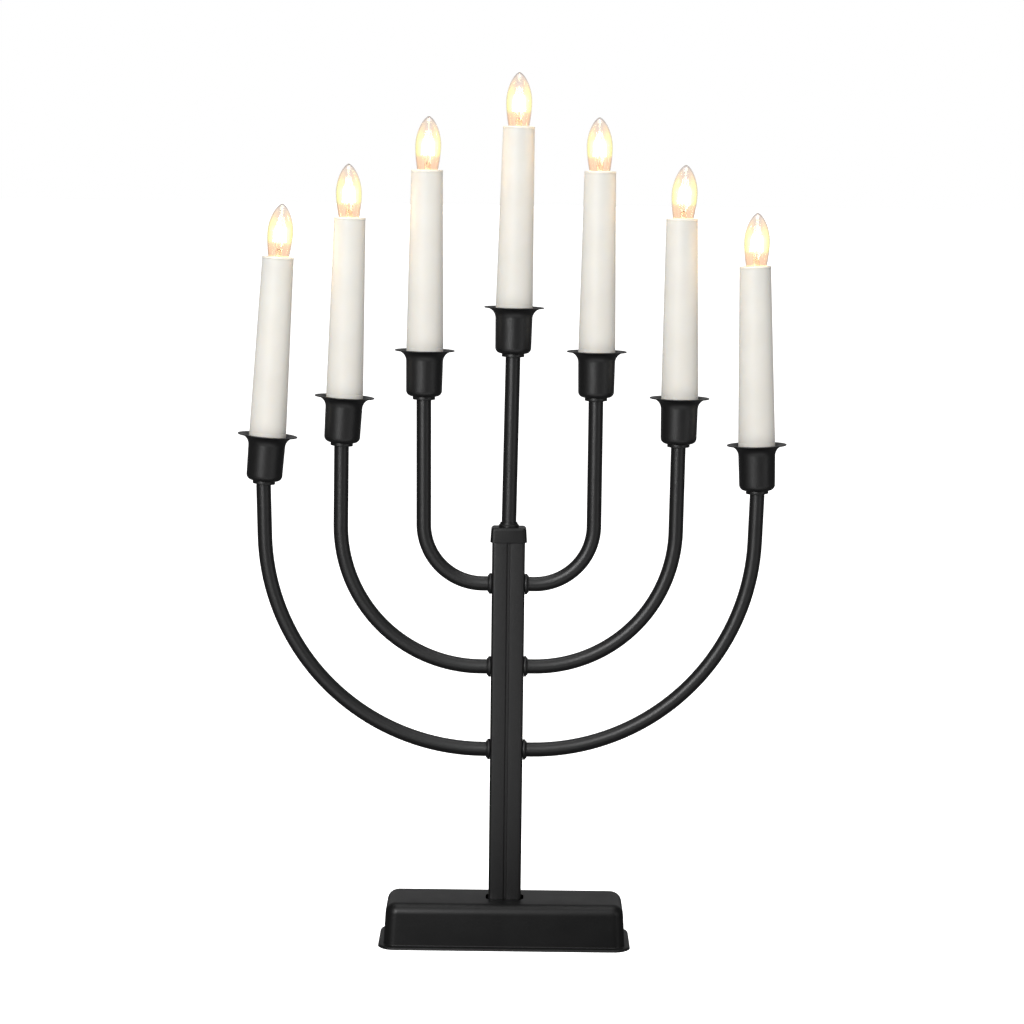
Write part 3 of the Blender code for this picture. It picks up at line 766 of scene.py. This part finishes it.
def add_lights(materials):
    """Seven equal lights share their meshes; each piece is its own object."""
    meshes = {
        "ring_nut": turned("ring_nut", nut_outline(), materials["powder"]),
        "cup": turned("cup", cup_outline(), materials["powder"], 96),
        "sleeve": turned("sleeve", sleeve_outline(), materials["ivory"]),
        "holder": turned("holder", holder_outline(), materials["cream"]),
        "shell": screw_shell(materials["nickel"]),
        "insulator": cap_insulator(materials["insulator"]),
        "contact": contact_pip(materials["nickel"]),
        "envelope": envelope(materials["glass"], materials["glass_painted_glow"]),
        "stem": stem_mount(materials["stem_glass"]),
        "leads": lead_wires(materials["nickel"]),
        "filament": filament_coil(materials["filament"]),
    }
    for name, (bulb_axis, cap_body, glass_body) in bulb_frames().items():
        _, cup_lean, sleeve_lean = LIGHTS[name]
        rim = rim_centre(name) * MM
        cup_axis = axis_matrix(rim, leaning(cup_lean))
        sleeve_axis = axis_matrix(rim, leaning(sleeve_lean))
        for piece, body, slot, axis, node in (
                ("ring_nut", "stand", "black_metal", cup_axis, "cup_nut"),
                ("cup", "stand", "black_metal", cup_axis, "drip_cup"),
                ("sleeve", "stand", "ivory_plastic", sleeve_axis, "candle_sleeve"),
                ("holder", "stand", "holder_plastic", sleeve_axis, "lampholder"),
                ("shell", cap_body, "nickel", bulb_axis, "bulb_cap"),
                ("insulator", cap_body, "black_plastic", bulb_axis, None),
                ("contact", cap_body, "nickel", bulb_axis, None),
                ("envelope", glass_body, "bulb_glass", bulb_axis, "bulb_glass"),
                ("stem", glass_body, "bulb_glass", bulb_axis, None),
                ("leads", glass_body, "nickel", bulb_axis, None),
                ("filament", glass_body, "nickel", bulb_axis, None)):
            obj = place(f"{name}_{piece}", meshes[piece], body, axis,
                        [f"{name}_{node}"] if node else [])
            if piece in ("envelope", "stem"):
                obj.visible_shadow = False
        add_bulb_light(name, bulb_axis @ Vector((0.0, 0.0, BULB_BELLY * MM)))


# ---- arms and stem ----------------------------------------------------------------------------
def pipe(name, path, material):
    across = Vector((0.0, 1.0, 0.0))
    outside = tube_rings(path, TUBE_RADIUS, 40, across)
    inside = tube_rings(path, TUBE_BORE, 40, across)
    return skin(name, outside + inside[::-1], material, closed=True)


def add_arms(materials):
    collar_outline = fillet([(TUBE_HOLE, 0.0, 0.0), (COLLAR_RADIUS, 0.0, 0.3),
                             (COLLAR_RADIUS, 1.3, 0.5), (5.1, 1.75, 0.4),
                             (4.9, COLLAR_LENGTH, 0.2), (TUBE_HOLE, COLLAR_LENGTH, 0.0)], steps=5)
    collar = turned("collar", collar_outline, materials["powder"])
    post_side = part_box("post")[1].x
    for name in ARMS:
        path = knee_path(name, ARM_START) + [rim_centre(name) + TUBE_END * leaning(LIGHTS[name][1])]
        place(f"{name}_tube", pipe(f"{name}_tube", path, materials["powder"]), "stand",
              None, [f"{name}_arm"])
        sign = -1 if name.startswith("left") else 1
        spot = Matrix.Translation((sign * (post_side + SEAM * MM), 0.0, ARMS[name][0] * MM))
        place(f"{name}_collar_ring", collar, "stand",
              spot @ Matrix.Rotation(sign * math.pi / 2.0, 4, "Y"), [f"{name}_arm_collar"])
    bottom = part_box("centre_stem")[0].z / MM
    path = knee_path("centre", bottom) + [
        rim_centre("centre") + TUBE_END * leaning(LIGHTS["centre"][1])]
    place("stem_tube", pipe("stem_tube", path, materials["powder"]), "stand", None,
          ["centre_stem"])


# ---- post, cap and base -----------------------------------------------------------------------
def post_section():
    """A quarter of the grooved section, mirrored round; counter-clockwise from above."""
    low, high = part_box("post")
    half_x, half_y = high.x / MM, high.y / MM
    quarter = fillet([(GROOVE_HALF_WIDTH, half_y - GROOVE_DEPTH, 0.3),
                      (GROOVE_HALF_WIDTH, half_y, GROOVE_LIP), (half_x, half_y, POST_CORNER),
                      (half_x, 0.0, 0.0)], closed=False, steps=8)[:-1]
    quarter[0].x = GROOVE_HALF_WIDTH
    right_rear = [(p.x, p.y) for p in reversed(quarter)]
    left_rear = [(-p.x, p.y) for p in quarter]
    left_front = [(-p.x, -p.y) for p in reversed(quarter)]
    right_front = [(p.x, -p.y) for p in quarter]
    return right_rear + left_rear + left_front + right_front, low.z / MM, high.z / MM


def box_mesh(name, low, high, material):
    return skin(name, [[Vector((x, y, z)) for x, y in ((low[0], low[1]), (high[0], low[1]),
                                                       (high[0], high[1]), (low[0], high[1]))]
                       for z in (low[2], high[2])], material)


def add_post(materials):
    section, bottom, top = post_section()
    powder = materials["powder"]
    mesh = skin("post_extrusion", [[Vector((x, y, z)) for x, y in section] for z in (bottom, top)],
                powder, sharp=30.0)
    bore = skin("post_bore", [rounded_rectangle(*POST_BORE, 1.0, z)
                              for z in (bottom - 1.0, top + 1.0)], powder)
    half, height = POST_NOTCH
    notch = box_mesh("post_notch", (-half, 0.0, bottom - 1.0), (half, 10.0, bottom + height),
                     powder)
    cutters = [bore, notch]
    for name, (height, *_) in ARMS.items():
        sign = -1 if name.startswith("left") else 1
        path = [Vector((sign * x, 0.0, height)) for x in (POST_BORE[0] - 0.5, 12.0)]
        rings = tube_rings(path, TUBE_HOLE, 40, Vector((0.0, 1.0, 0.0)))
        cutters.append(skin(f"{name}_hole", rings, powder))
    place("post_extrusion", cut(mesh, cutters), "stand", None, ["post"])


def add_post_cap(materials):
    """Rounded cap with a slightly flared skirt and the ring that the stem comes out of."""
    low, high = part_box("post_cap")
    bottom = low.z / MM
    foot = Vector((high.x, high.y)) / MM
    pocket = Vector(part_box("post")[1][:2]) / MM + Vector((FIT, FIT))
    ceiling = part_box("post")[1].z / MM + FIT
    corners = 10
    count = 4 * (corners + 1)
    outline = fillet([(0.0, bottom, 0.0), (0.55, CAP_TOP, CAP_EDGE), (4.0, CAP_TOP, 0.0)],
                     closed=False, steps=9)
    # the ring is nearly as wide as the cap is deep, so the edges round less along Y
    narrow = (foot.y - CAP_RING[0] - 0.15) / outline[-2].x
    rings = [rounded_rectangle(foot.x - 0.15, foot.y - 0.15, CAP_CORNER, bottom, corners)]
    for inset, z in outline[:-1]:
        rings.append(rounded_rectangle(foot.x - inset, foot.y - narrow * inset,
                                       max(0.6, CAP_CORNER - inset), max(z, bottom + 0.15),
                                       corners))
    ring = fillet([(CAP_RING[0], CAP_TOP, 0.0), (CAP_RING[0], CAP_TOP + CAP_RING[1], 0.35),
                   (5.1, CAP_TOP + 1.6, 0.5), (4.95, CAP_TOP + CAP_RING_TIP, 0.15),
                   (TUBE_HOLE, CAP_TOP + CAP_RING_TIP, 0.0)], closed=False, steps=5)
    rings += [circle(r, z, count) for r, z in ring]
    rings += [circle(TUBE_HOLE, ceiling, count),
              rounded_rectangle(*pocket, 2.2, ceiling, corners),
              rounded_rectangle(*pocket, 2.2, bottom, corners)]
    place("cap_moulding", skin("cap_moulding", rings, materials["moulding"], closed=True), "stand",
          None, ["post_cap"])


def base_section():
    """(inset from the wall's foot, height) up the outside: flange, cove, wall and rounded edge."""
    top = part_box("base_cover")[1].z / MM
    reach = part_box("base_cover")[1].x / MM - BASE_FOOT[0]
    draft = BASE_FOOT[0] - BASE_TOP[0]
    return fillet([(-reach, 0.0, 0.2), (-reach, FLANGE_TOP, FLANGE_EDGE),
                   (0.0, FLANGE_TOP, COVE_RADIUS), (draft, top, BASE_EDGE), (20.0, top, 0.0)],
                  closed=False, steps=12)[:-1]


def add_base(materials):
    """The moulded shell with its cove flange, the post's slot and the cord's notch."""
    flange = Vector(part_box("base_cover")[1][:2]) / MM
    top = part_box("base_cover")[1].z / MM
    reach = flange.x - BASE_FOOT[0]
    draft = BASE_FOOT[0] - BASE_TOP[0]
    corners = 12
    rings = []
    for inset, z in base_section():
        # the flange and the wall's lean are a little different along X and along Y
        out = max(0.0, -inset) / reach
        lean = min(max(0.0, inset), draft) / draft
        half_x = BASE_FOOT[0] - inset
        half_y = (BASE_FOOT[1] + out * (flange.y - BASE_FOOT[1])
                  - lean * (BASE_FOOT[1] - BASE_TOP[1]) - max(0.0, inset - draft))
        radius = BASE_CORNER + out * (FLANGE_CORNER - BASE_CORNER) - max(0.0, inset - draft)
        rings.append(rounded_rectangle(half_x, half_y, max(0.8, radius), z, corners))
    ceiling = top - BASE_WALL
    inner = (BASE_TOP[0] - BASE_WALL, BASE_TOP[1] - BASE_WALL)
    rings += [rounded_rectangle(*POST_SLOT, top, corners),
              rounded_rectangle(*POST_SLOT, ceiling, corners)]
    for angle in (90.0, 60.0, 30.0, 0.0):
        turned_by = math.radians(angle)
        inset = BASE_INNER_EDGE * (1.0 - math.cos(turned_by))
        z = ceiling - BASE_INNER_EDGE * (1.0 - math.sin(turned_by))
        rings.append(rounded_rectangle(inner[0] - inset, inner[1] - inset,
                                       SHELL_CORNER - inset, z, corners))
    rings.append(rounded_rectangle(BASE_FOOT[0] - BASE_WALL, BASE_FOOT[1] - BASE_WALL,
                                   SHELL_CORNER, 0.0, corners))
    mesh = skin("base_shell", rings, materials["moulding"], closed=True)
    half, start, notch_top = INLET
    notch = box_mesh("inlet_notch", (-half, start, -1.0), (half, flange.y + 1.0, notch_top),
                     materials["moulding"])
    place("base_shell", cut(mesh, [notch]), "stand", None, ["base_cover"])


# ---- room, light and camera -------------------------------------------------------------------
def aim(obj, place_at, target):
    obj.location = place_at
    obj.rotation_euler = (Vector(target) - Vector(place_at)).to_track_quat("-Z", "Y").to_euler()


def add_area_light(name, place_at, target, size, power):
    data = bpy.data.lights.new(name, "AREA")
    data.shape = "RECTANGLE"
    data.size, data.size_y = size
    data.energy = power
    obj = bpy.data.objects.new(name, data)
    bpy.context.scene.collection.objects.link(obj)
    aim(obj, place_at, target)


def add_bulb_light(name, place_at):
    """The lit filament's light on its holder and the sleeves beside it.

    It belongs to the room, so it keeps its place when the bulb is unscrewed.
    """
    data = bpy.data.lights.new(f"{name}_bulb_light", "POINT")
    data.energy = BULB_POWER
    data.color = BULB_LIGHT_COLOUR
    data.shadow_soft_size = BULB_LIGHT_RADIUS
    obj = bpy.data.objects.new(f"{name}_bulb_light", data)
    obj.location = place_at
    bpy.context.scene.collection.objects.link(obj)


def add_floor():
    """A pale floor so wide that its edge lies beyond every view."""
    bm = bmesh.new()
    bmesh.ops.create_grid(bm, x_segments=1, y_segments=1, size=FLOOR_HALF_WIDTH)
    n = Nodes("pale_floor")
    soft = n.noise(3.0, 2.0, 0.5)
    n.link(n.ramp(soft, ((0.3, (0.90, 0.90, 0.90)), (0.7, (0.92, 0.92, 0.92)))),
           n.shader.inputs["Base Color"])
    n.set(Roughness=0.9, Emission_Color=(1.0, 1.0, 1.0, 1.0), Emission_Strength=1.0)
    floor = bpy.data.objects.new("floor", finish_mesh("floor", bm, n.material))
    bpy.context.scene.collection.objects.link(floor)
    floor.visible_glossy = False
    floor.visible_diffuse = False
    floor.visible_transmission = False


def add_world():
    """White to the camera, paler through glass and on matt surfaces, and dim in reflections."""
    world = bpy.data.worlds.new("studio")
    world.use_nodes = True
    bpy.context.scene.world = world
    nodes, links = world.node_tree.nodes, world.node_tree.links
    path = nodes.new("ShaderNodeLightPath")
    colour = None
    for ray, seen in WORLD_SEEN.items():
        mix = nodes.new("ShaderNodeMix")
        mix.data_type = "RGBA"
        mix.inputs["A"].default_value = WORLD_DIM
        mix.inputs["B"].default_value = seen
        links.new(path.outputs[ray], mix.inputs["Factor"])
        if colour:
            links.new(colour, mix.inputs["A"])
        colour = mix.outputs["Result"]
    links.new(colour, nodes["Background"].inputs["Color"])


def add_camera():
    data = bpy.data.cameras.new("camera")
    data.lens = CAMERA_LENS
    data.sensor_width = 36.0
    data.clip_end = 100.0
    camera = bpy.data.objects.new("camera", data)
    bpy.context.scene.collection.objects.link(camera)
    place_at = Matrix.Translation(CAMERA_PLACE)
    tilt = Matrix.Rotation(math.radians(90.0 - CAMERA_DOWN), 4, "X")
    roll = Matrix.Rotation(math.radians(CAMERA_ROLL), 4, "Z")
    camera.matrix_world = place_at @ tilt @ roll
    bpy.context.scene.camera = camera


def main():
    bpy.context.scene.view_settings.view_transform = "Standard"
    add_camera()
    add_world()
    add_floor()
    for name, settings in AREA_LIGHTS.items():
        add_area_light(name, *settings)
    materials = {
        "powder": powder_coat(),
        "moulding": moulded_black(),
        "ivory": ivory_plastic(),
        "cream": cream_plastic(),
        "nickel": nickel(),
        "insulator": black_insulator(),
        "steel": plate_steel(),
        "wire": wire_insulation(),
        "glass": bulb_glass("bulb_glass", 0.0),
        # the inner wall's glass, with the painted glow on it
        "glass_painted_glow": bulb_glass("bulb_glass_painted_glow", 0.5),
        # the stem's glass carries a weaker painted glow
        "stem_glass": bulb_glass("stem_glass", 0.2),
        "filament": filament_glow(),
    }
    add_lights(materials)
    add_arms(materials)
    add_post(materials)
    add_post_cap(materials)
    add_base(materials)
    for node, material in (("base_plate", "steel"), ("wiring_loom", "wire")):
        frame["nodes"][node].data.materials.clear()
        frame["nodes"][node].data.materials.append(materials[material])


main()
